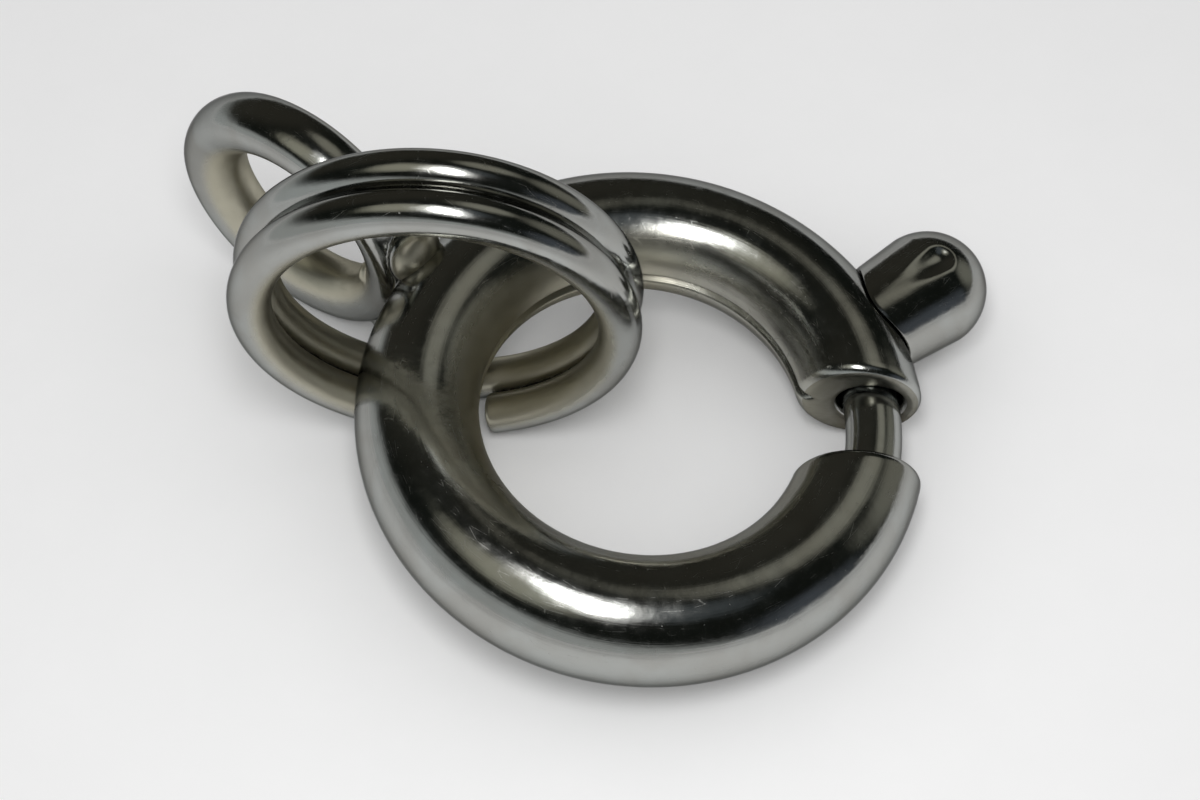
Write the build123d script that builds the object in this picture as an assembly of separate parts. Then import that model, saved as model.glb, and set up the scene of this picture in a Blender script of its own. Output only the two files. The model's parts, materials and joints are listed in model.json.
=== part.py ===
"""Spring ring clasp with a soldered eye and a two-turn split ring, for a fine chain.

The clasp is drawn in the frame of its ring: the ring lies in XY about Z, and the middle of the
mouth is on +X.  It is then tilted into the pose in which it rests on a table, on the rim of the
eye and on the underside of the ring, with the split ring on edge beneath the ring's tube.
All lengths are millimetres and all angles are degrees.
"""
from build123d import *
import os
from math import asin, cos, degrees, radians, sin, sqrt

# ---------------------------------------------------------------- driving dimensions
# Ring: a round tube rolled from strip, so that it has a seam along its inner side.
ring_od = 7.0
tube_d = 1.51
tube_wall = 0.37
mouth_gap = 1.02
seam_width = 0.17
seam_depth = 0.13

# Tongue: the curved bolt that slides in the tube and closes the mouth.  Its bore lies a little
# nearer the outside of the ring than the middle of the tube.
bolt_clearance = 0.04
bolt_offset = 0.13
tip_engagement = 0.32
tip_round = 0.16
open_margin = 0.06
tail_length = 0.34

# Trigger: the thumb lever, a ball-ended knob on a peg that runs in a slot of the tube.
trigger_angle = 32.0
peg_d = 0.40
peg_depth = 0.50
slot_clearance = 0.05
knob_root_d = 1.30
knob_ball_d = 1.54
knob_reach = 1.50
knob_lean = 10.0
knob_clearance = 0.05
thumb_groove_d = 0.60
thumb_groove_depth = 0.09
thumb_groove_length = 0.95

# Return spring: an arc coil spring in the bore, between the tongue and a plug.
spring_wire_d = 0.11
spring_turns = 10
spring_clearance = 0.02
plug_angle = 124.0
plug_length = 0.40

# Eye: a closed wire loop soldered to the outside of the tube, square to the ring.
eye_angle = 152.7
eye_thickness = 0.60
eye_width = 0.78
eye_crown_r = 0.50
eye_hole_d = 2.38
eye_sink = 0.08
solder_film = 0.01
solder_foot_d = 1.10
solder_height = 0.30

# Split ring: two turns of round wire, threaded on the tube.
split_od = 4.90
split_wire_d = 0.52
split_turn_gap = 0.02
split_angle = 168.2
split_heading = -86.7
split_inset = 0.09
jog_angle = 30.0
end_gap_angle = 3.0

# ---------------------------------------------------------------- sizes that follow
tube_r = tube_d / 2
ring_r = ring_od / 2 - tube_r
bore_r = tube_r - tube_wall
bolt_line_r = ring_r + bolt_offset
tongue_r = bore_r - bolt_clearance
peg_r = peg_d / 2
peg_foot = bolt_line_r + tongue_r - peg_depth
mouth_half_angle = degrees(asin(mouth_gap / 2 / ring_r))


def arc_angle(length):
    """The angle of a length measured along the bore's centre line."""
    return degrees(length / bolt_line_r)


def direction(angle):
    """The outward direction in the ring's plane at an angle from +X."""
    return Vector(cos(radians(angle)), sin(radians(angle)), 0)


tip_angle = -mouth_half_angle - arc_angle(tip_engagement)
tail_angle = trigger_angle + arc_angle(peg_r + tail_length)
trigger_travel = arc_angle(mouth_gap + tip_engagement + open_margin)
spring_start = tail_angle + arc_angle(spring_clearance)
spring_end = plug_angle - arc_angle(spring_clearance)
tube_start = mouth_half_angle / 2
tube_end = 360 - tube_start

eye_r = (eye_hole_d + eye_thickness) / 2
eye_outer_r = eye_hole_d / 2 + eye_thickness
eye_distance = ring_r + tube_r + eye_outer_r - eye_sink

split_wire_r = split_wire_d / 2
split_r = split_od / 2 - split_wire_r
turn_offset = split_wire_r + split_turn_gap / 2

# The rest pose: the eye's rim and the far side of the ring touch the table together.
rest_tilt = degrees(asin((eye_outer_r - tube_r) / (eye_distance + ring_r)))
tilt_axis = Axis((0, 0, 0), direction(eye_angle - 90))
table_up = Vector(0, 0, 1).rotate(tilt_axis, -rest_tilt)
table_level = -ring_r * sin(radians(rest_tilt)) - tube_r


# ---------------------------------------------------------------- helpers
def curved_bar(section, radius, start, end):
    """Revolve a section about Z from start to end; its x points outward and its y points up."""
    outward = direction(start)
    plane = Plane(origin=outward * radius, x_dir=outward, z_dir=direction(start - 90))
    return revolve(plane * section, Axis.Z, revolution_arc=end - start)


def radial_plane(angle, distance):
    """The plane that faces outward at an angle and a distance from the ring's centre."""
    return Plane(origin=direction(angle) * distance, x_dir=(0, 0, 1), z_dir=direction(angle))


# ---------------------------------------------------------------- ring
def seam_groove():
    """The section of the groove where the edges of the rolled strip meet."""
    bottom = (seam_depth - tube_r, 0)
    above = (-seam_depth - tube_r, seam_width)
    below = (-seam_depth - tube_r, -seam_width)
    return make_face(Polyline(bottom, above, below, close=True))


def trigger_slot():
    """The slot in the outer wall that the peg runs in, round at both ends."""
    slot_r = peg_r + slot_clearance
    slot_depth = tube_r + slot_clearance
    band = Pos(slot_depth / 2, 0) * Rectangle(slot_depth, 2 * slot_r)
    slot = curved_bar(band, ring_r, trigger_angle, trigger_angle + trigger_travel)
    for angle in (trigger_angle, trigger_angle + trigger_travel):
        end = Cylinder(slot_r, slot_depth, align=(Align.CENTER, Align.CENTER, Align.MIN))
        slot += radial_plane(angle, ring_r) * end
    return slot


def make_ring_body():
    """The tube, with a parallel-sided mouth sawn across it."""
    tube = curved_bar(Circle(tube_r) - seam_groove(), ring_r, tube_start, tube_end)
    tube -= curved_bar(Circle(bore_r), bolt_line_r, tube_start, tube_end)
    tube -= Pos(ring_r, 0, 0) * Box(2 * tube_d, mouth_gap, 2 * tube_d)
    return tube - trigger_slot()


# ---------------------------------------------------------------- tongue and trigger
def make_tongue():
    bolt = curved_bar(Circle(tongue_r), bolt_line_r, tip_angle, tail_angle)
    tip_edge = bolt.edges().filter_by(GeomType.CIRCLE).sort_by(Axis.Y)[0]
    bolt = fillet(tip_edge, tip_round)
    hole = Cylinder(peg_r, tube_r, align=(Align.CENTER, Align.CENTER, Align.MIN))
    return bolt - radial_plane(trigger_angle, peg_foot) * hole


def make_trigger():
    """The peg is radial; the knob is turned about a line that leans from it at the tube."""
    ball_r = knob_ball_d / 2
    ball_height = knob_reach - ball_r
    seat = direction(trigger_angle) * ring_od / 2
    leaning = Plane(origin=seat, x_dir=(0, 0, 1), z_dir=direction(trigger_angle + knob_lean))
    knob = leaning * Pos(0, 0, -tube_r) * Cone(
        knob_root_d / 2, ball_r, ball_height + tube_r, align=(Align.CENTER, Align.CENTER, Align.MIN)
    )
    knob += leaning * Pos(0, 0, ball_height) * Sphere(ball_r)
    knob -= Torus(ring_r, tube_r + knob_clearance)
    knob -= Cylinder(ring_r, tube_d)
    knob -= leaning * Pos(0, 0, ball_height) * thumb_groove(ball_r)
    peg = radial_plane(trigger_angle, peg_foot) * Cylinder(
        peg_r, ring_od / 2 + ball_height - peg_foot, align=(Align.CENTER, Align.CENTER, Align.MIN)
    )
    return knob + peg


def thumb_groove(ball_r):
    """A shallow groove along the knob's upper side, with a round end near the tip."""
    cutter_r = thumb_groove_d / 2
    height = ball_r - thumb_groove_depth + cutter_r
    groove = Cylinder(
        cutter_r, thumb_groove_length - cutter_r, align=(Align.CENTER, Align.CENTER, Align.MAX)
    )
    return Pos(height, 0) * (groove + Sphere(cutter_r))


# ---------------------------------------------------------------- spring and its plug
def make_return_spring():
    """A coil wound round the bore's curved centre line, its fine wire drawn six-sided."""
    coil_r = bore_r - bolt_clearance - spring_wire_d / 2
    steps_per_turn = 8
    steps = spring_turns * steps_per_turn
    margin = arc_angle(spring_wire_d / 2)
    points = []
    for step in range(steps + 1):
        turn = 360 * step / steps_per_turn
        station = spring_start + margin + (spring_end - spring_start - 2 * margin) * step / steps
        outward = bolt_line_r + coil_r * cos(radians(turn))
        points.append(direction(station) * outward + Vector(0, 0, coil_r * sin(radians(turn))))
    path = Spline(*points)
    section = Plane(origin=path @ 0, z_dir=path % 0) * RegularPolygon(spring_wire_d / 2, 6)
    return sweep(section, path=path)


def make_spring_plug():
    plug_end = plug_angle + arc_angle(plug_length)
    return curved_bar(Circle(bore_r), bolt_line_r, plug_angle, plug_end)


# ---------------------------------------------------------------- eye
def eye_section():
    """An oval of four arcs: x is the thickness and y the width, with a crown on each broad side."""
    half_thickness = eye_thickness / 2
    half_width = eye_width / 2
    crown_inset = eye_crown_r - half_thickness
    side_r = (eye_crown_r**2 - crown_inset**2 - half_width**2) / (2 * (eye_crown_r - half_width))
    reach = eye_crown_r / (eye_crown_r - side_r)
    x = crown_inset * reach - crown_inset
    y = (half_width - side_r) * reach
    outer = ThreePointArc((x, -y), (half_thickness, 0), (x, y))
    upper = ThreePointArc((x, y), (0, half_width), (-x, y))
    inner = ThreePointArc((-x, y), (-half_thickness, 0), (-x, -y))
    lower = ThreePointArc((-x, -y), (0, -half_width), (x, -y))
    return make_face([outer, upper, inner, lower])


def make_eye():
    """The loop stands in the plane of its radial line and Z; solder fills its foot."""
    outward = direction(eye_angle)
    section_centre = Vector(0, 0, eye_r) + outward * eye_distance
    section = Plane(origin=section_centre, x_dir=(0, 0, 1), z_dir=outward) * eye_section()
    loop = revolve(section, Axis(outward * eye_distance, direction(eye_angle - 90)))
    foot = radial_plane(eye_angle, ring_od / 2 - eye_sink) * Cone(
        solder_foot_d / 2,
        eye_width / 2,
        solder_height + eye_sink,
        align=(Align.CENTER, Align.CENTER, Align.MIN),
    )
    return loop + foot - Torus(ring_r, tube_r + solder_film)


# ---------------------------------------------------------------- split ring
def split_centre():
    """The centre is at the height that puts the lower edge of the ring on the table."""
    spot = direction(split_angle) * ring_r + direction(split_heading + 90) * split_inset
    lean = abs(direction(split_heading).dot(table_up))
    lowest = turn_offset * lean + split_r * sqrt(1 - lean**2) + split_wire_r
    height = (table_level + lowest - spot.dot(table_up)) / table_up.Z
    return spot + Vector(0, 0, height)


def make_split_ring():
    """One wire makes a turn, steps aside over the jog and makes a second turn beside it."""
    start = jog_angle / 2 + end_gap_angle
    stop = 360 - jog_angle / 2
    first = Pos(0, 0, turn_offset) * CenterArc((0, 0), split_r, start, stop - start)
    second = Pos(0, 0, -turn_offset) * CenterArc((0, 0), split_r, jog_angle / 2, stop - start)
    middle = Vector(split_r, 0, 0)
    jog = Spline(first @ 1, middle, second @ 0, tangents=[first % 1, second % 0])
    path = Wire([first, jog, second])
    section = Plane(origin=first @ 0, z_dir=first % 0) * Circle(split_wire_r)
    jog_down = Plane(origin=split_centre(), x_dir=(0, 0, -1), z_dir=direction(split_heading))
    return jog_down * sweep(section, path=path)


# ---------------------------------------------------------------- the clasp at rest
nodes = {
    "ring_body": make_ring_body(),
    "eye": make_eye(),
    "tongue": make_tongue(),
    "trigger": make_trigger(),
    "return_spring": make_return_spring(),
    "spring_plug": make_spring_plug(),
    "split_ring": make_split_ring(),
}

tilted = {name: shape.rotate(tilt_axis, rest_tilt) for name, shape in nodes.items()}
box = Compound(list(tilted.values())).bounding_box()
to_origin = Pos(-box.center().X, -box.center().Y, -box.min.Z)

os.makedirs("parts", exist_ok=True)
for name, shape in tilted.items():
    print(name, shape.is_valid, round(shape.volume, 3), len(shape.solids()))
    export_step(to_origin * shape, f"parts/{name}.step")

print("box", box.size, "tilt", rest_tilt, "travel", trigger_travel)
print("ring centre", to_origin.position, "ring axis", Vector(0, 0, 1).rotate(tilt_axis, rest_tilt))
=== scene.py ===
"""The look of the spring ring clasp: bright plated metal on a pale floor.

The pieces are meshed again here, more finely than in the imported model, in the ring's own frame:
the ring lies in XY about Z, the middle of its mouth is on +X, and lengths are millimetres.
The metal mirrors the floor and a dark canopy, which only reflections and refractions see.
"""
import json
from math import asin, atan2, cos, hypot, pi, radians, sin, sqrt, tau

import bmesh
import bpy
from mathutils import Matrix, Vector


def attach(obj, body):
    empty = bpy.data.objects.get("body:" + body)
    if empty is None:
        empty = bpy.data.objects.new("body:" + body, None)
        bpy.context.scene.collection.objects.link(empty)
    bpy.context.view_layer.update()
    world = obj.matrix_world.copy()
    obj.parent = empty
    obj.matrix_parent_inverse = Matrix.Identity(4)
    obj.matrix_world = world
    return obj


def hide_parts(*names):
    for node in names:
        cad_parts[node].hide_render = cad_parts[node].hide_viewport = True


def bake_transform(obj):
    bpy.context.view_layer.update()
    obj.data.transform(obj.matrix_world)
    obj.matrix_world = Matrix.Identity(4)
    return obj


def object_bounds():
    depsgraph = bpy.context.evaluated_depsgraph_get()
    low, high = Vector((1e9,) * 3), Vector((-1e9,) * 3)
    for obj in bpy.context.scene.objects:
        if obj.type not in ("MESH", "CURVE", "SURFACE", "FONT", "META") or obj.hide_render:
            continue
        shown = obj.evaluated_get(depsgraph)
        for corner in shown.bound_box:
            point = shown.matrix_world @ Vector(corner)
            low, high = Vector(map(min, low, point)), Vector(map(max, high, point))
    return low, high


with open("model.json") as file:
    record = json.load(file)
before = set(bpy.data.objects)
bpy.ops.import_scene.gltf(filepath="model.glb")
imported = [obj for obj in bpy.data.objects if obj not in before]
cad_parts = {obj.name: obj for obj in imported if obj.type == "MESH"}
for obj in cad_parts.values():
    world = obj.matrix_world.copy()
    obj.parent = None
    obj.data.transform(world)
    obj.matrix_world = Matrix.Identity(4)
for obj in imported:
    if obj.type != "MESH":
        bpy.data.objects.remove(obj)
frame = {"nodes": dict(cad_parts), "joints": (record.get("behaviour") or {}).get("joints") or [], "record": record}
cad_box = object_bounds()

# ---------------------------------------------------------------- the part's own sizes
MM = 0.001
RING_OD = 7.0
TUBE_R = 0.755
TUBE_WALL = 0.37
MOUTH_GAP = 1.02
SEAM_WIDTH = 0.17
SEAM_DEPTH = 0.13
BOLT_CLEARANCE = 0.04
BOLT_OFFSET = 0.13
TIP_ENGAGEMENT = 0.32
TIP_ROUND = 0.16
OPEN_MARGIN = 0.06
TAIL_LENGTH = 0.34
TRIGGER_ANGLE = 32.0
PEG_R = 0.20
PEG_DEPTH = 0.50
SLOT_CLEARANCE = 0.05
KNOB_ROOT_R = 0.65
KNOB_BALL_R = 0.77
KNOB_REACH = 1.50
KNOB_LEAN = 10.0
THUMB_GROOVE_R = 0.30
THUMB_GROOVE_DEPTH = 0.09
THUMB_GROOVE_LENGTH = 0.95
THUMB_GROOVE_FADE = 0.6
THUMB_GROOVE_LIP = 0.05
SPRING_WIRE_R = 0.055
SPRING_TURNS = 10
SPRING_GAP = 0.02
PLUG_ANGLE = 124.0
EYE_ANGLE = 152.7
EYE_THICKNESS = 0.60
EYE_WIDTH = 0.78
EYE_CROWN_R = 0.50
EYE_HOLE_R = 1.19
EYE_SINK = 0.08
SPLIT_OD = 4.90
SPLIT_WIRE_R = 0.26
SPLIT_TURN_GAP = 0.02
SPLIT_HEADING = -86.7
JOG_ANGLE = 30.0
END_GAP_ANGLE = 3.0

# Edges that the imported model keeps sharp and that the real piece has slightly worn.
RIM_ROUND = 0.13
KNOB_RIM_ROUND = 0.04
SEAM_LIP = 0.03
WIRE_END_ROUND = 0.07

# The eye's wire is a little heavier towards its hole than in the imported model, most of all at
# the outer lower side, and the knob's foot comes nearer to the tube.
EYE_INNER_GROWTH = 0.14
EYE_GROWTH_SWING = 0.10
KNOB_FOOT_GAP = 0.012

# Where a polishing mop reaches least, and where a warm reflection is painted: how far towards the
# hole a wall starts to dull and where it is dullest, as shares of the half thickness, and how far
# off the loop solder does, in mm.
RING_DULL_AND_REFLECTION = (0.40, 0.85)
EYE_DULL_AND_REFLECTION = (0.30, 1.00)
SPLIT_DULL_AND_REFLECTION = (-0.10, 0.60)
SOLDER_DULL_AND_REFLECTION = (0.03, 0.13)
# The ring's dull wall, with its painted warm reflection, is this share as strong away from the eye,
# and grows to its full strength at this cosine of the angle from the eye.
FAR_DULL_AND_REFLECTION = 0.3
NEAR_EYE = 0.7

# The melted eye is put back on the clean loop within the first distance of it, in mm, and is
# left as solder beyond the second.
LOOP_KEPT = (0.02, 0.07)

# How many steps the meshes have along each form and round its section, and how many it takes
# to find the knob's foot.
RIM_STEPS = 6
TUBE_STEPS = 300
TUBE_ROUND = 92
BORE_STEPS = 120
SLOT_STEPS = 24
SLOT_END_STEPS = 12
TIP_STEPS = 10
TONGUE_STEPS = 90
TONGUE_ROUND = 72
COIL_STEPS_A_TURN = 36
COIL_ROUND = 12
KNOB_STEPS = 60
FOOT_HALVINGS = 30
FOOT_ROUNDS = 4
KNOB_ROUND = 192
PEG_STEPS = 12
PEG_ROUND = 48
LOOP_STEPS = 160
LOOP_ROUND = 48
LUMP_STEPS = 26
LUMP_ROUND = 48
SPLIT_STEPS = 420
SPLIT_ROUND = 56

RING_R = RING_OD / 2 - TUBE_R
BORE_R = TUBE_R - TUBE_WALL
BOLT_LINE_R = RING_R + BOLT_OFFSET
TONGUE_R = BORE_R - BOLT_CLEARANCE
EYE_R = EYE_HOLE_R + EYE_THICKNESS / 2
EYE_DISTANCE = RING_OD / 2 + EYE_HOLE_R + EYE_THICKNESS - EYE_SINK
SPLIT_R = SPLIT_OD / 2 - SPLIT_WIRE_R
TURN_OFFSET = SPLIT_WIRE_R + SPLIT_TURN_GAP / 2


# ---------------------------------------------------------------- places, from the frame
def joint_place(joint):
    """The ring's own frame in the world: its centre and axis are the joint's."""
    turn = Vector((0, 0, 1)).rotation_difference(Vector(joint["axis"]))
    return Matrix.Translation(joint["pos_m"]) @ turn.to_matrix().to_4x4() @ Matrix.Scale(MM, 4)


bolt_joint = next(joint for joint in frame["joints"] if joint["name"] == "bolt_draw")
ring_place = joint_place(bolt_joint)
split_loop = next(m for m in frame["record"]["mounts"] if m["name"] == "split_ring_loop")
split_centre = ring_place.inverted() @ Vector(split_loop["pos_m"])


# ---------------------------------------------------------------- meshes, in the ring's frame
def polar(angle, radius, height=0.0):
    return Vector((radius * cos(angle), radius * sin(angle), height))


def smooth(value):
    """0 below 0, 1 above 1, and an even step between."""
    value = min(max(value, 0.0), 1.0)
    return value * value * (3 - 2 * value)


def ease(value, start, end):
    """0 before start, 1 beyond end, and an even step between."""
    return smooth((value - start) / (end - start))


def spread(start, end, count):
    return [start + (end - start) * i / (count - 1) for i in range(count)]


def full_turn(count):
    """Angles evenly round a circle."""
    return spread(0, tau, count + 1)[:-1]


def skin(rows, closed=False):
    """Faces between rows, each a closed loop of as many points; open ends are capped."""
    count = len(rows[0])
    points = [point for row in rows for point in row]
    faces = []
    for i in range(len(rows) if closed else len(rows) - 1):
        a = i * count
        b = (i + 1) % len(rows) * count
        for j in range(count):
            k = (j + 1) % count
            faces.append((a + j, a + k, b + k, b + j))
    if not closed:
        for row, first in ((rows[0], 0), (rows[-1], (len(rows) - 1) * count)):
            centre = len(points)
            points.append(sum(row, Vector()) / count)
            faces += [(first + j, first + (j + 1) % count, centre) for j in range(count)]
    return points, faces


def mesh_of(name, *skins, sharp=None):
    """A smooth-shaded mesh of closed skins, sharp at edges that turn by more than that angle."""
    bm = bmesh.new()
    for points, faces in skins:
        verts = [bm.verts.new(point) for point in points]
        for face in faces:
            bm.faces.new([verts[i] for i in face])
    bmesh.ops.recalc_face_normals(bm, faces=bm.faces)
    for face in bm.faces:
        face.smooth = True
    mesh = bpy.data.meshes.new(name)
    bm.to_mesh(mesh)
    bm.free()
    if sharp:
        mesh.set_sharp_from_angle(angle=radians(sharp))
    return mesh


def new_object(name, data):
    item = bpy.data.objects.new(name, data)
    bpy.context.scene.collection.objects.link(item)
    return item


def applied(piece):
    """The mesh that a piece's modifiers make."""
    graph = bpy.context.evaluated_depsgraph_get()
    mesh = bpy.data.meshes.new_from_object(piece.evaluated_get(graph))
    piece.modifiers.clear()
    return mesh


def dress(piece, along, body, node, material, ends=None, dull_and_painted_reflection=None):
    """Gives a finished mesh its drawing direction, its place, its body and its finish.

    along turns a point into its length along the wire and its place round it, both in mm.
    ends is the material of the two faces beside the mouth, whose darker tone is painted shade.
    The last argument gives each point a number from 0 to 1: how far it is from what a polishing
    mop reaches, and how much painted warm reflection its colour takes.
    """
    mesh = piece.data
    marks = mesh.attributes.new("dull_and_painted_reflection", "FLOAT", "POINT")
    for index, vertex in enumerate(mesh.vertices):
        marks.data[index].value = dull_and_painted_reflection(vertex.co) if dull_and_painted_reflection else 0.0
    shaded_mouth_faces = []
    if ends:
        shaded_mouth_faces = [face for face in mesh.polygons if beside_mouth(face)]
    flow = mesh.attributes.new("flow", "FLOAT_VECTOR", "POINT")
    for vertex, item in zip(mesh.vertices, flow.data):
        item.vector = along(vertex.co)
    mesh.transform(ring_place)
    mesh.materials.clear()
    mesh.materials.append(material)
    if ends:
        mesh.materials.append(ends)
        for face in shaded_mouth_faces:
            face.material_index = 1
    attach(piece, body)
    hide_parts(node)


# ---------------------------------------------------------------- ring
def soft_corner(before, corner, after, radius, steps=4):
    """Points that round a corner: a curve from one side to the other."""
    start = corner + (before - corner).normalized() * radius
    end = corner + (after - corner).normalized() * radius
    return [start.lerp(corner, t).lerp(corner.lerp(end, t), t) for t in spread(0, 1, steps + 1)]


def tube_section():
    """The tube's outline with the soft-lipped seam at its inner side; x points outward."""
    slope = SEAM_WIDTH / (2 * SEAM_DEPTH)
    foot = SEAM_DEPTH - TUBE_R
    a = 1 + slope**2
    b = -foot * slope**2
    lip_x = (-b - sqrt(b**2 - a * (slope**2 * foot**2 - TUBE_R**2))) / a
    lip = Vector((lip_x, (foot - lip_x) * slope))
    lip_angle = atan2(lip.y, lip.x)
    clear = lip_angle - SEAM_LIP / TUBE_R
    arc = [Vector((TUBE_R * cos(t), TUBE_R * sin(t))) for t in spread(-clear, clear, TUBE_ROUND)]
    bottom = Vector((foot, 0))
    above = soft_corner(arc[-1], lip, bottom, SEAM_LIP)
    below = [Vector((point.x, -point.y)) for point in reversed(above)]
    return arc[:-1] + above + soft_corner(lip, bottom, Vector((lip.x, -lip.y)), SEAM_LIP) + below[:-1]


def mouth_angle(reach, beyond):
    """The angle at which a parallel face beside the mouth crosses a radius."""
    return asin((MOUTH_GAP / 2 + beyond) / reach)


def tube_row(section, inset, outset_centre, beyond, share):
    """A row of the tube: share runs from 0 at one side of the mouth to 1 at the other."""
    row = []
    for point in section:
        moved = point * (1 - inset / point.length)
        reach = outset_centre + moved.x
        start = mouth_angle(reach, beyond)
        row.append(polar(start + (tau - 2 * start) * share, reach, moved.y))
    return row


def rim_steps():
    """How far in from the surface and from the end face a rounded rim's rows lie."""
    turns = spread(0, pi / 2, RIM_STEPS)
    return [(RIM_ROUND * (1 - cos(t)), RIM_ROUND * (1 - sin(t))) for t in turns]


def ring_mesh():
    outer = tube_section()
    bore = [point.normalized() * BORE_R for point in outer]
    rims = rim_steps()
    tube_shares = spread(0, 1, TUBE_STEPS)[1:-1]
    bore_shares = spread(1, 0, BORE_STEPS)[1:-1]
    rows = [tube_row(outer, inset, RING_R, beyond, 0) for inset, beyond in reversed(rims)]
    rows += [tube_row(outer, 0, RING_R, RIM_ROUND, share) for share in tube_shares]
    rows += [tube_row(outer, inset, RING_R, beyond, 1) for inset, beyond in rims]
    rows += [tube_row(bore, -inset, BOLT_LINE_R, beyond, 1) for inset, beyond in reversed(rims)]
    rows += [tube_row(bore, 0, BOLT_LINE_R, RIM_ROUND, share) for share in bore_shares]
    rows += [tube_row(bore, -inset, BOLT_LINE_R, beyond, 0) for inset, beyond in rims]
    return mesh_of("ring_body_skin", skin(rows, closed=True))


def slot_cutter():
    """The slot that the peg runs in: a curved band with round ends, through the outer wall."""
    width = PEG_R + SLOT_CLEARANCE
    start = radians(TRIGGER_ANGLE)
    travel = (MOUTH_GAP + TIP_ENGAGEMENT + OPEN_MARGIN) / BOLT_LINE_R
    # The round ends stop a little short of a point, so that no face there is folded flat.
    blunt = 0.02
    beyond = 0.1
    near_end = spread(blunt, pi / 2, SLOT_END_STEPS)
    far_end = spread(0, pi / 2 - blunt, SLOT_END_STEPS)
    stations = [(start, -width * cos(t), width * sin(t)) for t in near_end]
    stations += [(start + travel * share, 0, width) for share in spread(0, 1, SLOT_STEPS)[1:-1]]
    stations += [(start + travel, width * sin(t), width * cos(t)) for t in far_end]
    rows = []
    for angle, along, height in stations:
        side = polar(angle + pi / 2, along)
        inner, outer = polar(angle, RING_R), polar(angle, RING_R + TUBE_R + beyond)
        up = Vector((0, 0, height))
        rows.append([inner + side + up, outer + side + up, outer + side - up, inner + side - up])
    return mesh_of("slot_cutter", skin(rows))


def beside_mouth(face):
    """True for the flat faces that the saw left on both sides of the mouth."""
    near = abs(abs(face.center.y) - MOUTH_GAP / 2) < 0.3 * RIM_ROUND
    return near and face.center.x > 0 and abs(face.normal.y) > 0.8


def slotted_ring():
    piece = new_object("ring_body_skin", ring_mesh())
    cutter = new_object("slot_cutter", slot_cutter())
    cut = piece.modifiers.new("slot", "BOOLEAN")
    cut.operation = "DIFFERENCE"
    cut.solver = "EXACT"
    cut.object = cutter
    piece.data = applied(piece)
    bpy.data.objects.remove(cutter)
    piece.data.set_sharp_from_angle(angle=radians(40))
    return piece


def along_ring(point):
    reach = hypot(point.x, point.y)
    return ((atan2(point.y, point.x) % tau) * RING_R, reach - RING_R, point.z)


def inside_ring(point):
    """The hole side of the ring, least polished and given most painted warm reflection beside the eye and the
    split ring.
    """
    inward = (RING_R - hypot(point.x, point.y)) / TUBE_R
    beside = cos(atan2(point.y, point.x) - radians(EYE_ANGLE))
    return ease(inward, *RING_DULL_AND_REFLECTION) * (FAR_DULL_AND_REFLECTION + (1 - FAR_DULL_AND_REFLECTION) * ease(beside, 0, NEAR_EYE))


# ---------------------------------------------------------------- tongue
def tongue_mesh():
    tip = -asin(MOUTH_GAP / 2 / RING_R) - TIP_ENGAGEMENT / BOLT_LINE_R
    tail = radians(TRIGGER_ANGLE) + (PEG_R + TAIL_LENGTH) / BOLT_LINE_R
    ends = [(TONGUE_R - TIP_ROUND) * share for share in (0.3, 0.6, 0.85)]
    stations = [(tip, radius) for radius in ends]
    for t in spread(0, pi / 2, TIP_STEPS):
        radius = TONGUE_R - TIP_ROUND * (1 - sin(t))
        stations.append((tip + TIP_ROUND * (1 - cos(t)) / BOLT_LINE_R, radius))
    stations += [(angle, TONGUE_R) for angle in spread(stations[-1][0], tail, TONGUE_STEPS)[1:]]
    rows = []
    for angle, radius in stations:
        row = []
        for t in full_turn(TONGUE_ROUND):
            row.append(polar(angle, BOLT_LINE_R + radius * cos(t), radius * sin(t)))
        rows.append(row)
    return mesh_of("tongue_skin", skin(rows), sharp=50)


def along_tongue(point):
    reach = hypot(point.x, point.y)
    return (atan2(point.y, point.x) * BOLT_LINE_R, reach - BOLT_LINE_R, point.z)


# ---------------------------------------------------------------- return spring
def coil_station(share):
    """The angle in the bore at a share of the spring's length, from the tongue to the plug."""
    start = radians(TRIGGER_ANGLE) + (PEG_R + TAIL_LENGTH + SPRING_GAP) / BOLT_LINE_R
    end = radians(PLUG_ANGLE) - SPRING_GAP / BOLT_LINE_R
    margin = SPRING_WIRE_R / BOLT_LINE_R
    return start + margin + (end - start - 2 * margin) * share


def coil_point(share):
    turn = tau * SPRING_TURNS * share
    coil_r = BORE_R - BOLT_CLEARANCE - SPRING_WIRE_R
    return polar(coil_station(share), BOLT_LINE_R + coil_r * cos(turn), coil_r * sin(turn))


def coil_mesh():
    rows = []
    nearby = 0.0005
    for share in spread(0, 1, SPRING_TURNS * COIL_STEPS_A_TURN + 1):
        centre = coil_point(share)
        ahead = (coil_point(share + nearby) - coil_point(share - nearby)).normalized()
        outward = centre - polar(coil_station(share), BOLT_LINE_R)
        out = (outward - ahead * outward.dot(ahead)).normalized()
        side = ahead.cross(out)
        row = []
        for t in full_turn(COIL_ROUND):
            row.append(centre + (out * cos(t) + side * sin(t)) * SPRING_WIRE_R)
        rows.append(row)
    return mesh_of("return_spring_coil", skin(rows), sharp=60)


# ---------------------------------------------------------------- trigger
knob_seat = polar(radians(TRIGGER_ANGLE), RING_OD / 2)
knob_line = polar(radians(TRIGGER_ANGLE + KNOB_LEAN), 1)
knob_side = Vector((0, 0, 1)).cross(knob_line) * -1
BALL_HEIGHT = KNOB_REACH - KNOB_BALL_R


def knob_point(across_up, across_side, height):
    return knob_seat + Vector((0, 0, across_up)) + knob_side * across_side + knob_line * height


def knob_radius(height):
    taper = (KNOB_BALL_R - KNOB_ROOT_R) / (BALL_HEIGHT + TUBE_R)
    return KNOB_ROOT_R + taper * (min(height, BALL_HEIGHT) + TUBE_R)


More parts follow.
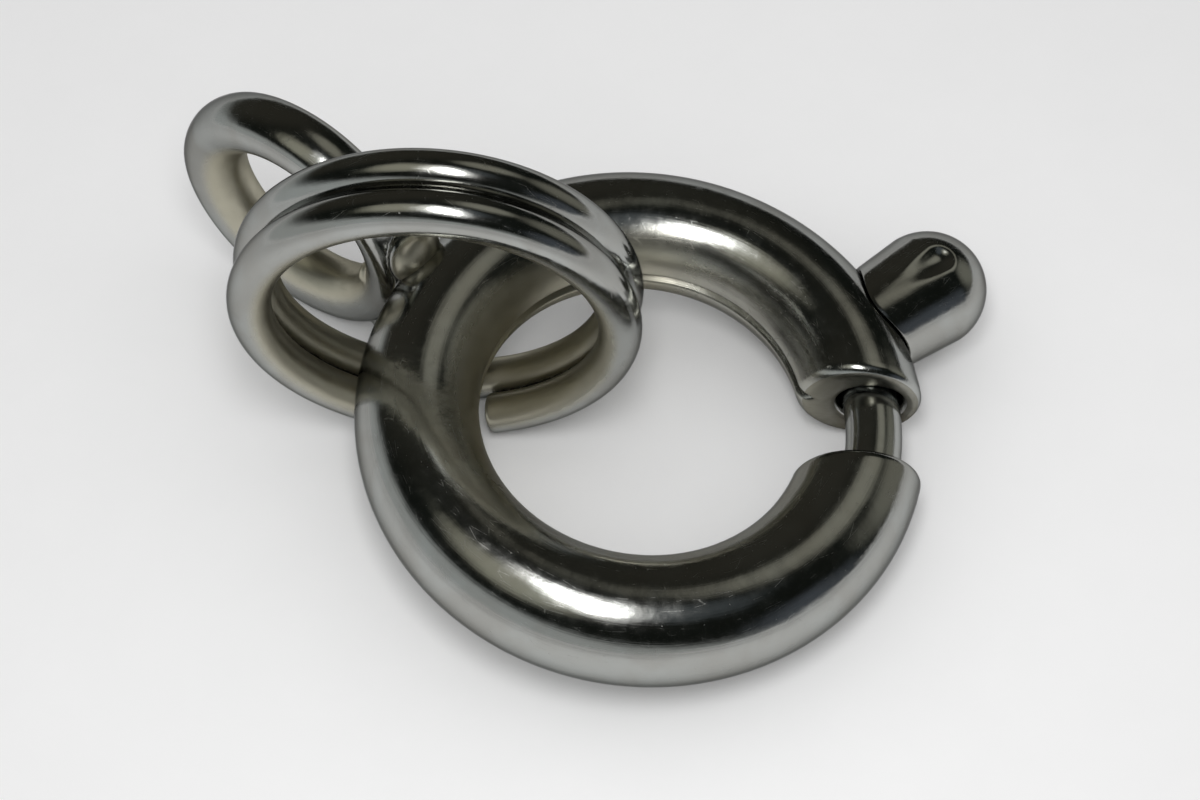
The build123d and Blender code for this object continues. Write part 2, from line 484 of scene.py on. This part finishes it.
def above_tube(point):
    """How far a point stands off the surface that clears the tube."""
    reach = hypot(point.x, point.y) - RING_R
    return hypot(reach, point.z) - TUBE_R - KNOB_FOOT_GAP


def knob_foot(across_up, across_side):
    """The height at which a line beside the knob's own leaves the clearance round the tube."""
    low, high = -0.9, 0.6
    for _ in range(FOOT_HALVINGS):
        middle = (low + high) / 2
        if above_tube(knob_point(across_up, across_side, middle)) > 0:
            high = middle
        else:
            low = middle
    return high


def thumbed(across_up, across_side, height):
    """Presses the shallow thumb groove into the knob's upper side, fading out at both ends."""
    line = KNOB_BALL_R - THUMB_GROOVE_DEPTH + THUMB_GROOVE_R
    beyond = max(height - BALL_HEIGHT, 0.0)
    back = max(BALL_HEIGHT - height, 0.0) / (THUMB_GROOVE_LENGTH - THUMB_GROOVE_R)
    line += THUMB_GROOVE_DEPTH * smooth(back) * THUMB_GROOVE_FADE
    away = Vector((across_up - line, across_side, beyond))
    gap = away.length - THUMB_GROOVE_R
    lip = THUMB_GROOVE_LIP
    if gap > lip:
        return across_up, across_side, height
    pushed = 0.0 if gap < -lip else (gap + lip) ** 2 / (4 * lip)
    away *= (THUMB_GROOVE_R + pushed) / away.length
    return line + away.x, away.y, height - beyond + away.z


def trigger_mesh():
    around = full_turn(KNOB_ROUND)
    feet = []
    for t in around:
        foot = 0.0
        for _ in range(FOOT_ROUNDS):
            radius = knob_radius(foot)
            foot = knob_foot(radius * cos(t), radius * sin(t))
        feet.append(foot)
    rows = []
    for share in (0.15, 0.4, 0.65, 0.85, 0.95):
        row = []
        for t, foot in zip(around, feet):
            radius = (knob_radius(foot) - KNOB_RIM_ROUND) * share
            up, side = radius * cos(t), radius * sin(t)
            row.append(knob_point(up, side, knob_foot(up, side)))
        rows.append(row)
    for rim in spread(0, pi / 2, RIM_STEPS):
        row = []
        for t, foot in zip(around, feet):
            radius = knob_radius(foot) - KNOB_RIM_ROUND * (1 - sin(rim))
            up, side = radius * cos(t), radius * sin(t)
            row.append(knob_point(up, side, knob_foot(up, side) + KNOB_RIM_ROUND * (1 - cos(rim))))
        rows.append(row)
    for share in spread(0, 1, KNOB_STEPS)[1:]:
        row = []
        for t, foot in zip(around, feet):
            start = foot + KNOB_RIM_ROUND
            height = start + (BALL_HEIGHT - start) * share
            radius = knob_radius(height)
            row.append(knob_point(*thumbed(radius * cos(t), radius * sin(t), height)))
        rows.append(row)
    for rise in spread(0, pi / 2, KNOB_STEPS)[1:-1]:
        row = []
        radius = KNOB_BALL_R * cos(rise)
        height = BALL_HEIGHT + KNOB_BALL_R * sin(rise)
        for t in around:
            row.append(knob_point(*thumbed(radius * cos(t), radius * sin(t), height)))
        rows.append(row)
    peg_line = polar(radians(TRIGGER_ANGLE), 1)
    peg_side = polar(radians(TRIGGER_ANGLE) + pi / 2, 1)
    peg = []
    peg_foot = BOLT_LINE_R + TONGUE_R - PEG_DEPTH
    for distance in spread(peg_foot, RING_OD / 2 + BALL_HEIGHT, PEG_STEPS):
        row = []
        for t in full_turn(PEG_ROUND):
            row.append(peg_line * distance + peg_side * PEG_R * cos(t) + Vector((0, 0, PEG_R * sin(t))))
        peg.append(row)
    return mesh_of("trigger_knob", skin(rows), skin(peg), sharp=50)


def along_knob(point):
    offset = point - knob_seat
    return (offset.dot(knob_line), offset.z, offset.dot(knob_side))


# ---------------------------------------------------------------- eye
eye_line = polar(radians(EYE_ANGLE), 1)
eye_across = polar(radians(EYE_ANGLE) + pi / 2, 1)
eye_centre = eye_line * EYE_DISTANCE
# Lumps of solder: distance out, height, place across, the half lengths in that order, and the
# phase of their ripples.
SOLDER_LUMPS = (
    (3.46, -0.04, -0.06, 0.40, 0.80, 0.43, 0.4),
    (3.60, -0.82, -0.09, 0.40, 0.60, 0.36, 1.7),
    (3.48, 0.46, -0.04, 0.34, 0.46, 0.38, 2.9),
    (3.95, -0.30, 0.10, 0.26, 0.30, 0.23, 4.1),
    (3.88, -1.00, 0.00, 0.34, 0.44, 0.34, 5.3),
)


def eye_radius(angle):
    """The oval section's reach at an angle from its outward thickness direction."""
    half_thickness, half_width = EYE_THICKNESS / 2, EYE_WIDTH / 2
    crown_inset = EYE_CROWN_R - half_thickness
    side_r = (EYE_CROWN_R**2 - crown_inset**2 - half_width**2) / (2 * (EYE_CROWN_R - half_width))
    side_centre = half_width - side_r
    c, s = abs(cos(angle)), abs(sin(angle))
    if s * crown_inset < c * side_centre * EYE_CROWN_R / side_r:
        return -crown_inset * c + sqrt(EYE_CROWN_R**2 - (crown_inset * s) ** 2)
    return side_centre * s + sqrt(side_r**2 - (side_centre * c) ** 2)


def eye_swell(turn):
    """How much further the section reaches towards the hole, at a place round the loop."""
    growth = EYE_INNER_GROWTH + EYE_GROWTH_SWING * cos(turn + pi / 4)
    return 1 + growth / (EYE_THICKNESS / 2)


def eye_point(turn, angle):
    """turn goes round the loop from the side away from the ring, angle round its section."""
    out, width = eye_radius(angle) * cos(angle), eye_radius(angle) * sin(angle)
    reach = EYE_R + (out * eye_swell(turn) if out < 0 else out)
    return eye_centre + (eye_line * cos(turn) + Vector((0, 0, sin(turn)))) * reach + eye_across * width


def loop_skin():
    rows = []
    for turn in full_turn(LOOP_STEPS):
        rows.append([eye_point(turn, t) for t in full_turn(LOOP_ROUND)])
    return skin(rows, closed=True)


def solder_lump(reach, up, across, half_reach, half_up, half_across, phase):
    """One lump of solder, an uneven ball squeezed between the tube and the loop."""
    rows = []
    for tilt in spread(-pi / 2, pi / 2, LUMP_STEPS)[1:-1]:
        row = []
        for t in full_turn(LUMP_ROUND):
            ripple = 0.05 * sin(3 * t + phase) * cos(tilt)
            swell = 1 + ripple + 0.04 * sin(4 * tilt + 2 * t + phase)
            out = reach + half_reach * swell * cos(tilt) * cos(t)
            side = across + half_across * swell * cos(tilt) * sin(t)
            rise = up + half_up * swell * sin(tilt)
            row.append(eye_line * out + eye_across * side + Vector((0, 0, rise)))
        rows.append(row)
    return skin(rows)


def eye_mesh():
    """The loop and its solder, melted together; the loop's own surface is kept beyond it."""
    skins = [loop_skin()] + [solder_lump(*lump) for lump in SOLDER_LUMPS]
    piece = new_object("eye_loop", mesh_of("eye_loop", *skins))
    melt = piece.modifiers.new("melt", "REMESH")
    melt.mode = "VOXEL"
    melt.voxel_size = 0.03
    melt.adaptivity = 0
    settle = piece.modifiers.new("settle", "SMOOTH")
    settle.factor = 0.5
    settle.iterations = 12
    mesh = applied(piece)
    for vertex in mesh.vertices:
        offset = vertex.co - eye_centre
        out, up = offset.dot(eye_line), offset.z
        turn = atan2(up, out)
        across, reach = offset.dot(eye_across), hypot(out, up) - EYE_R
        if reach < 0:
            reach /= eye_swell(turn)
        clean = eye_point(turn, atan2(across, reach))
        gap = (vertex.co - clean).length
        vertex.co = vertex.co.lerp(clean, 1 - ease(gap, *LOOP_KEPT))
    for face in mesh.polygons:
        face.use_smooth = True
    piece.data = mesh
    return piece


def along_eye(point):
    offset = point - eye_centre
    out, up = offset.dot(eye_line), offset.z
    return (atan2(up, out) * EYE_R, hypot(out, up) - EYE_R, offset.dot(eye_across))


def inside_eye(point):
    """The wall of the eye's hole, and the solder that stands off the loop: dull, with a painted warm reflection.
    """
    offset = point - eye_centre
    out, up, across = offset.dot(eye_line), offset.z, offset.dot(eye_across)
    reach = hypot(out, up) - EYE_R
    off_loop = ease(hypot(reach, across) - EYE_WIDTH / 2, *SOLDER_DULL_AND_REFLECTION)
    return max(ease(-reach / (EYE_THICKNESS / 2), *EYE_DULL_AND_REFLECTION), off_loop)


# ---------------------------------------------------------------- split ring
split_line = polar(radians(SPLIT_HEADING), 1)
split_down = Vector((0, 0, -1))
split_side = split_line.cross(split_down)


def split_point(turn, reach, width):
    """turn is measured from the jog, at the bottom; width is towards the heading."""
    return split_centre + (split_down * cos(turn) + split_side * sin(turn)) * reach + split_line * width


def split_mesh():
    half_jog = radians(JOG_ANGLE) / 2
    start = half_jog + radians(END_GAP_ANGLE)
    stop = 2 * tau - start
    end_radii = [share * SPLIT_WIRE_R for share in (0.3, 0.6)]
    stations = [(start, radius) for radius in end_radii]
    ends = []
    for t in spread(0, pi / 2, RIM_STEPS):
        ends.append((WIRE_END_ROUND * (1 - cos(t)), SPLIT_WIRE_R - WIRE_END_ROUND * (1 - sin(t))))
    stations += [(start + inward / SPLIT_R, radius) for inward, radius in ends]
    first, last = stations[-1][0], stop - WIRE_END_ROUND / SPLIT_R
    stations += [(turn, SPLIT_WIRE_R) for turn in spread(first, last, SPLIT_STEPS)[1:-1]]
    stations += [(stop - inward / SPLIT_R, radius) for inward, radius in reversed(ends)]
    stations += [(stop, radius) for radius in reversed(end_radii)]
    rows = []
    for turn, radius in stations:
        share = (turn - tau + half_jog) / (2 * half_jog)
        offset = TURN_OFFSET * (1 - 2 * smooth(share))
        row = []
        for t in full_turn(SPLIT_ROUND):
            row.append(split_point(turn, SPLIT_R + radius * cos(t), offset + radius * sin(t)))
        rows.append(row)
    return mesh_of("split_ring_wire", skin(rows))


def along_split(point):
    offset = point - split_centre
    down, side = offset.dot(split_down), offset.dot(split_side)
    return (atan2(-side, -down) * SPLIT_R, hypot(down, side) - SPLIT_R, offset.dot(split_line))


def inside_split(point):
    """The wall of the split ring's hole: dull, with a painted warm reflection."""
    return ease(-along_split(point)[1] / SPLIT_WIRE_R, *SPLIT_DULL_AND_REFLECTION)


# ---------------------------------------------------------------- materials
SILVER = (0.415, 0.425, 0.41)
SILVER_DULL = (0.375, 0.375, 0.355)
# The colour of a painted warm reflection on the hole walls and the solder.
PAINTED_WARM_REFLECTION = (0.52, 0.49, 0.38)
# Painted shade for the faces beside the mouth, which face each other across the narrow gap.
MOUTH_FACE_PAINTED_SHADE = (0.29, 0.285, 0.25)
MOUTH_FACE_PAINTED_SHADE_DARK = (0.17, 0.16, 0.13)
EDGE_TINT = (0.28, 0.28, 0.28)
STEEL = (0.56, 0.56, 0.57)
STEEL_DARK = (0.36, 0.35, 0.34)
BRASS = (0.72, 0.56, 0.28)
BRASS_BROWN = (0.46, 0.32, 0.15)
PAPER = (0.92, 0.92, 0.92)
PAPER_LIGHT = (0.95, 0.95, 0.95)

# What a fully dull wall takes of the painted warm reflection colour, and what each mark adds to roughness.
PAINTED_REFLECTION_SHARE = 0.8
DULL_ROUGH = 0.24
HAZE_ROUGH = 0.07
DRAWN_ROUGH = 0.05
SPECK_ROUGH = 0.25
SCRATCH_ROUGH = 0.15

# Depths: a speck's in mm, a scratch's as a share of it, and ripples' as a share of the waves'.
SPECK_DEPTH = 0.0003
SCRATCH_SHARE = 0.3
RIPPLE_SHARE = 0.16


class Nodes:
    """A small helper that adds and links shader nodes."""

    def __init__(self, tree):
        self.tree = tree

    def give(self, node, values):
        """Sets a node's inputs; each value is a plain one or another node's output."""
        for key, value in values.items():
            if hasattr(value, "is_output"):
                self.tree.links.new(value, node.inputs[key])
            else:
                node.inputs[key].default_value = value
        return node

    def add(self, kind, values=None, **settings):
        node = self.tree.nodes.new("ShaderNode" + kind)
        for key, value in settings.items():
            setattr(node, key, value)
        return self.give(node, values or {})

    def mapped(self, vector, scale, turn=0.0):
        values = {"Vector": vector, "Scale": scale, "Rotation": (0, 0, turn)}
        return self.add("Mapping", values).outputs["Vector"]

    def noise(self, vector, scale, detail=2.0, roughness=0.5, distortion=0.0):
        values = {"Vector": vector, "Scale": scale, "Detail": detail}
        values.update({"Roughness": roughness, "Distortion": distortion})
        return self.add("TexNoise", values).outputs["Fac"]

    def ramp(self, value, low, high, start=0.0, end=1.0):
        values = {"Value": value, "From Min": low, "From Max": high, "To Min": start, "To Max": end}
        return self.add("MapRange", values, interpolation_type="SMOOTHSTEP").outputs["Result"]

    def maths(self, operation, first, second):
        return self.add("Math", {0: first, 1: second}, operation=operation).outputs[0]

    def mix(self, share, first, second):
        """A colour between two: the first at a share of 0, the second at 1."""
        return self.add("Mix", {0: share, 6: first, 7: second}, data_type="RGBA").outputs[2]

    def vectors(self, operation, first, second):
        return self.add("VectorMath", {0: first, 1: second}, operation=operation)

    def scaled(self, vector, scale):
        values = {0: vector, "Scale": scale}
        return self.add("VectorMath", values, operation="SCALE").outputs["Vector"]

    def bump(self, height, distance, normal=None):
        values = {"Height": height, "Distance": distance, "Strength": 1.0}
        if normal is not None:
            values["Normal"] = normal
        return self.add("Bump", values).outputs["Normal"]


def opaque(colour):
    return (*colour, 1)


def new_material(name):
    material = bpy.data.materials.new(name)
    material.use_nodes = True
    tree = material.node_tree
    return material, Nodes(tree), tree.nodes["Principled BSDF"]


def flow_coordinates(nodes):
    """Millimetres along and across the wire, so that the marks of drawing follow it."""
    return nodes.add("Attribute", attribute_name="flow").outputs["Vector"]


def millimetres(nodes):
    place = nodes.add("TexCoord").outputs["Object"]
    return nodes.mapped(place, (1 / MM, 1 / MM, 1 / MM))


def plated_metal(name, bright, dull, polish, grain, waviness, drawn=True):
    """Bright plating: hand-polish waves, drawing lines, fine scratches, specks and faint stains.

    polish is the least roughness. grain and waviness are depths in mm, of the drawing lines and
    of the waves. Dull walls take a painted warm reflection colour.
    """
    material, nodes, shader = new_material(name)
    place = millimetres(nodes)
    flow = flow_coordinates(nodes) if drawn else place
    drawing = nodes.noise(nodes.mapped(flow, (0.5, 22.0, 22.0)), 1.0, 4.0, 0.65)
    stain = nodes.noise(place, 1.1, 3.0, 0.55, 0.6)
    haze = nodes.noise(place, 5.0, 3.0, 0.6)
    speck = nodes.ramp(nodes.noise(place, 26.0, 1.0, 0.5), 0.74, 0.84)
    hair = nodes.mapped(flow, (1.6, 9.0, 9.0), turn=0.5)
    crack = nodes.add("TexVoronoi", {"Vector": hair, "Scale": 1.0}, feature="DISTANCE_TO_EDGE")
    scratch = nodes.ramp(crack.outputs["Distance"], 0.0, 0.02, 1.0, 0.0)
    scratch = nodes.maths("MULTIPLY", scratch, nodes.ramp(haze, 0.45, 0.62))
    dull_and_painted_reflection = nodes.add("Attribute", attribute_name="dull_and_painted_reflection").outputs["Fac"]

    tone = nodes.mix(nodes.ramp(stain, 0.36, 0.66), opaque(dull), opaque(bright))
    # Dull walls take a painted warm reflection colour in place of some of the plating's tone.
    painted_reflection_amount = nodes.maths("MULTIPLY", dull_and_painted_reflection, PAINTED_REFLECTION_SHARE)

    rough = nodes.maths("ADD", polish, nodes.ramp(haze, 0.35, 0.75, 0.0, HAZE_ROUGH))
    marks = ((dull_and_painted_reflection, DULL_ROUGH), (drawing, DRAWN_ROUGH), (speck, SPECK_ROUGH), (scratch, SCRATCH_ROUGH))
    for mark, share in marks:
        rough = nodes.maths("ADD", rough, nodes.maths("MULTIPLY", mark, share))

    waves = nodes.bump(nodes.noise(place, 1.6, 1.0, 0.4, 0.3), waviness * MM)
    ripple_depth = waviness * RIPPLE_SHARE * MM
    ripples = nodes.bump(nodes.noise(place, 7.0, 2.0, 0.5), ripple_depth, normal=waves)
    fine = nodes.bump(drawing, grain * MM, normal=ripples)
    pits = nodes.maths("SUBTRACT", nodes.maths("MULTIPLY", scratch, -SCRATCH_SHARE), speck)
    nodes.give(shader, {
        "Base Color": nodes.mix(painted_reflection_amount, tone, opaque(PAINTED_WARM_REFLECTION)),
        "Metallic": 1.0,
        "Specular Tint": opaque(EDGE_TINT),
        "Roughness": rough,
        "Normal": nodes.bump(pits, SPECK_DEPTH * MM, normal=fine),
    })
    return material


def spring_steel(name):
    """Hard-drawn wire: dark grey, clouded, with a fine grain."""
    material, nodes, shader = new_material(name)
    place = millimetres(nodes)
    grain = nodes.noise(place, 30.0, 3.0, 0.6)
    nodes.give(shader, {
        "Base Color": nodes.mix(nodes.noise(place, 4.0), opaque(STEEL_DARK), opaque(STEEL)),
        "Metallic": 1.0,
        "Roughness": nodes.ramp(grain, 0.3, 0.7, 0.22, 0.42),
        "Normal": nodes.bump(grain, 0.001 * MM),
    })
    return material


def plain_brass(name):
    """The plug was never plated: yellow, a little brown in patches, with a fine grain."""
    material, nodes, shader = new_material(name)
    place = millimetres(nodes)
    tarnish = nodes.noise(place, 3.0, 4.0, 0.6, 0.5)
    browned = nodes.ramp(tarnish, 0.35, 0.7)
    nodes.give(shader, {
        "Base Color": nodes.mix(browned, opaque(BRASS), opaque(BRASS_BROWN)),
        "Metallic": 1.0,
        "Roughness": nodes.ramp(tarnish, 0.3, 0.7, 0.24, 0.48),
        "Normal": nodes.bump(nodes.noise(place, 24.0), 0.002 * MM),
    })
    return material


# ---------------------------------------------------------------- the pieces
# The faces beside the mouth: rougher than the plating, and darker with painted shade of the narrow gap.
mouth_face_shaded_metal = plated_metal("mouth_face_painted_shade_metal", MOUTH_FACE_PAINTED_SHADE, MOUTH_FACE_PAINTED_SHADE_DARK, 0.28, 0.004, 0.006, drawn=False)
ring_metal = plated_metal("plated_ring_metal", SILVER, SILVER_DULL, 0.10, 0.0012, 0.008)
eye_metal = plated_metal("plated_eye_metal", SILVER, SILVER_DULL, 0.11, 0.0010, 0.014)
tongue_metal = plated_metal("plated_tongue_metal", SILVER, SILVER_DULL, 0.10, 0.0014, 0.004)
trigger_metal = plated_metal("plated_trigger_metal", SILVER, SILVER_DULL, 0.10, 0.0008, 0.008)
split_metal = plated_metal("plated_split_metal", SILVER, SILVER_DULL, 0.09, 0.0010, 0.006)

dress(
    slotted_ring(), along_ring, "clasp", "ring_body", ring_metal,
    ends=mouth_face_shaded_metal, dull_and_painted_reflection=inside_ring,
)
dress(eye_mesh(), along_eye, "clasp", "eye", eye_metal, dull_and_painted_reflection=inside_eye)
tongue_piece = new_object("tongue_skin", tongue_mesh())
dress(tongue_piece, along_tongue, "bolt", "tongue", tongue_metal)
trigger_piece = new_object("trigger_knob", trigger_mesh())
dress(trigger_piece, along_knob, "bolt", "trigger", trigger_metal)
split_piece = new_object("split_ring_wire", split_mesh())
dress(
    split_piece, along_split, "loose_ring", "split_ring", split_metal,
    dull_and_painted_reflection=inside_split,
)

# The spring lies along the bore at rest, from behind the tongue's tail to the plug.
coil_piece = new_object("return_spring_coil", coil_mesh())
coil_piece.data.transform(ring_place)
coil_piece.data.materials.append(spring_steel("spring_wire_steel"))
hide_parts("return_spring")
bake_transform(coil_piece)

plug_mesh = frame["nodes"]["spring_plug"].data
plug_mesh.materials.clear()
plug_mesh.materials.append(plain_brass("plug_brass"))

# ---------------------------------------------------------------- camera
# From here on, angles are in degrees, and distances are in spans, the clasp's length.
low, high = (Vector(corner) for corner in cad_box)
middle = (low + high) / 2
span = (high - low).x
AIM = (0.042, 0.022, -0.139)
CAMERA_AZIMUTH = -81.2
CAMERA_ELEVATION = 55.8
CAMERA_DISTANCE = 2.072
CAMERA_ROLL = -3.83


def toward(azimuth, elevation):
    azimuth, elevation = radians(azimuth), radians(elevation)
    return Vector((cos(elevation) * cos(azimuth), cos(elevation) * sin(azimuth), sin(elevation)))


def facing(target, direction, distance, roll=0.0):
    """A place at a distance from the target, looking back at it, upright apart from a roll."""
    turn = direction.to_track_quat("Z", "Y").to_matrix() @ Matrix.Rotation(radians(roll), 3, "Z")
    return Matrix.Translation(target + direction * distance * span) @ turn.to_4x4()


camera_data = bpy.data.cameras.new("camera")
camera_data.lens = 52.5
camera_data.sensor_width = 36.0
camera_data.clip_start = 0.0005
camera_data.clip_end = 10.0
camera = new_object("camera", camera_data)
sight = toward(CAMERA_AZIMUTH, CAMERA_ELEVATION)
camera.matrix_world = facing(middle + Vector(AIM) * span, sight, CAMERA_DISTANCE, CAMERA_ROLL)
bpy.context.scene.camera = camera

# ---------------------------------------------------------------- floor, world and lamps
FLOOR_REACH = 60
WORLD_STRENGTH = 0.70
CANOPY_REACH = 30
CANOPY_EDGE = 1.0
CANOPY_LEAN = (0.30, 0.25, 1.0)
CANOPY_VELVET = (0.010, 0.012, 0.010)
CANOPY_HORIZON = (0.50, 0.52, 0.52)
# azimuth, elevation, inner and outer radius, colour
CANOPY_GLOWS = (
    (-125, 66, 4, 24, (0.45, 0.44, 0.36)),
    (-40, 66, 4, 18, (0.07, 0.08, 0.09)),
    (-28, 10, 2, 24, (0.08, 0.09, 0.11)),
    (20, 20, 5, 26, (0.23, 0.225, 0.19)),
    (42, 56, 3, 20, (0.33, 0.32, 0.27)),
    (118, 30, 8, 55, (0.032, 0.028, 0.022)),
)
# name, azimuth, elevation, distance, width, height, and how bright its face looks
LAMPS = (
    ("key", -78, 67, 1.55, 0.34, 0.74, 12.0),
    ("key_halo", -78, 67, 1.56, 0.66, 1.24, 0.8),
)


def pale_floor():
    material, nodes, shader = new_material("pale_paper")
    place = nodes.add("TexCoord").outputs["Object"]
    fibre = nodes.noise(place, 900.0, 4.0, 0.6)
    nodes.give(shader, {
        "Base Color": nodes.mix(fibre, opaque(PAPER), opaque(PAPER_LIGHT)),
        "Roughness": 0.9,
        "Specular IOR Level": 0.1,
    })
    return material


def canopy_glow(nodes, place, azimuth, elevation, inner, outer, colour):
    """A soft round patch of light on the canopy, fading out from inner to outer degrees."""
    near = nodes.vectors("DOT_PRODUCT", place, tuple(toward(azimuth, elevation)))
    fade = nodes.ramp(near.outputs["Value"], cos(radians(outer)), cos(radians(inner)))
    return nodes.scaled(colour, fade)


def canopy_material():
    """Black velvet overhead that grows pale towards the horizon, with a few dim lights on it."""
    material = bpy.data.materials.new("canopy_velvet")
    material.use_nodes = True
    tree = material.node_tree
    tree.nodes.clear()
    nodes = Nodes(tree)
    place = nodes.add("TexCoord").outputs["Object"]
    place = nodes.add("VectorMath", {0: place}, operation="NORMALIZE").outputs["Vector"]
    height = nodes.vectors("DOT_PRODUCT", place, CANOPY_LEAN).outputs["Value"]
    total = nodes.scaled(CANOPY_HORIZON, nodes.ramp(height, -0.04, 0.25, 1.0, 0.0))
    glows = [canopy_glow(nodes, place, *glow) for glow in CANOPY_GLOWS]
    for glow in glows + [CANOPY_VELVET]:
        total = nodes.vectors("ADD", total, glow).outputs["Vector"]
    light = nodes.add("Emission", {"Color": total, "Strength": 1.0})
    nodes.add("OutputMaterial", {"Surface": light.outputs["Emission"]})
    return material


def lamp(name, azimuth, elevation, distance, width, height, radiance):
    """An oval lamp that faces the clasp, upright."""
    data = bpy.data.lights.new(name, "AREA")
    data.shape = "ELLIPSE"
    data.size = width * span
    data.size_y = height * span
    data.energy = radiance * pi * (pi / 4 * width * height * span**2)
    holder = new_object(name, data)
    holder.visible_camera = False
    holder.matrix_world = facing(middle, toward(azimuth, elevation), distance)


floor_mesh = bpy.data.meshes.new("floor")
side = FLOOR_REACH * span
corners = [(-side, -side, 0), (side, -side, 0), (side, side, 0), (-side, side, 0)]
floor_mesh.from_pydata(corners, [], [(0, 1, 2, 3)])
floor = new_object("floor", floor_mesh)
floor_mesh.materials.append(pale_floor())

world = bpy.data.worlds.new("room")
world.use_nodes = True
bpy.context.scene.world = world
background = world.node_tree.nodes["Background"]
background.inputs["Color"].default_value = (1, 1, 1, 1)
background.inputs["Strength"].default_value = WORLD_STRENGTH

canopy_mesh = bpy.data.meshes.new("canopy")
canopy_bm = bmesh.new()
radius = CANOPY_REACH * span
bmesh.ops.create_uvsphere(canopy_bm, u_segments=64, v_segments=48, radius=radius)
under = [vert for vert in canopy_bm.verts if vert.co.z < radius * sin(radians(CANOPY_EDGE))]
bmesh.ops.delete(canopy_bm, geom=under, context="VERTS")
canopy_bm.to_mesh(canopy_mesh)
canopy_bm.free()
canopy = new_object("canopy", canopy_mesh)
canopy_mesh.materials.append(canopy_material())
canopy.location = middle
# Only reflections and refractions see the canopy. The white world beyond it lights the floor.
canopy.visible_camera = False
canopy.visible_diffuse = False
canopy.visible_shadow = False

for settings in LAMPS:
    lamp(*settings)

bpy.context.scene.view_settings.view_transform = "Standard"
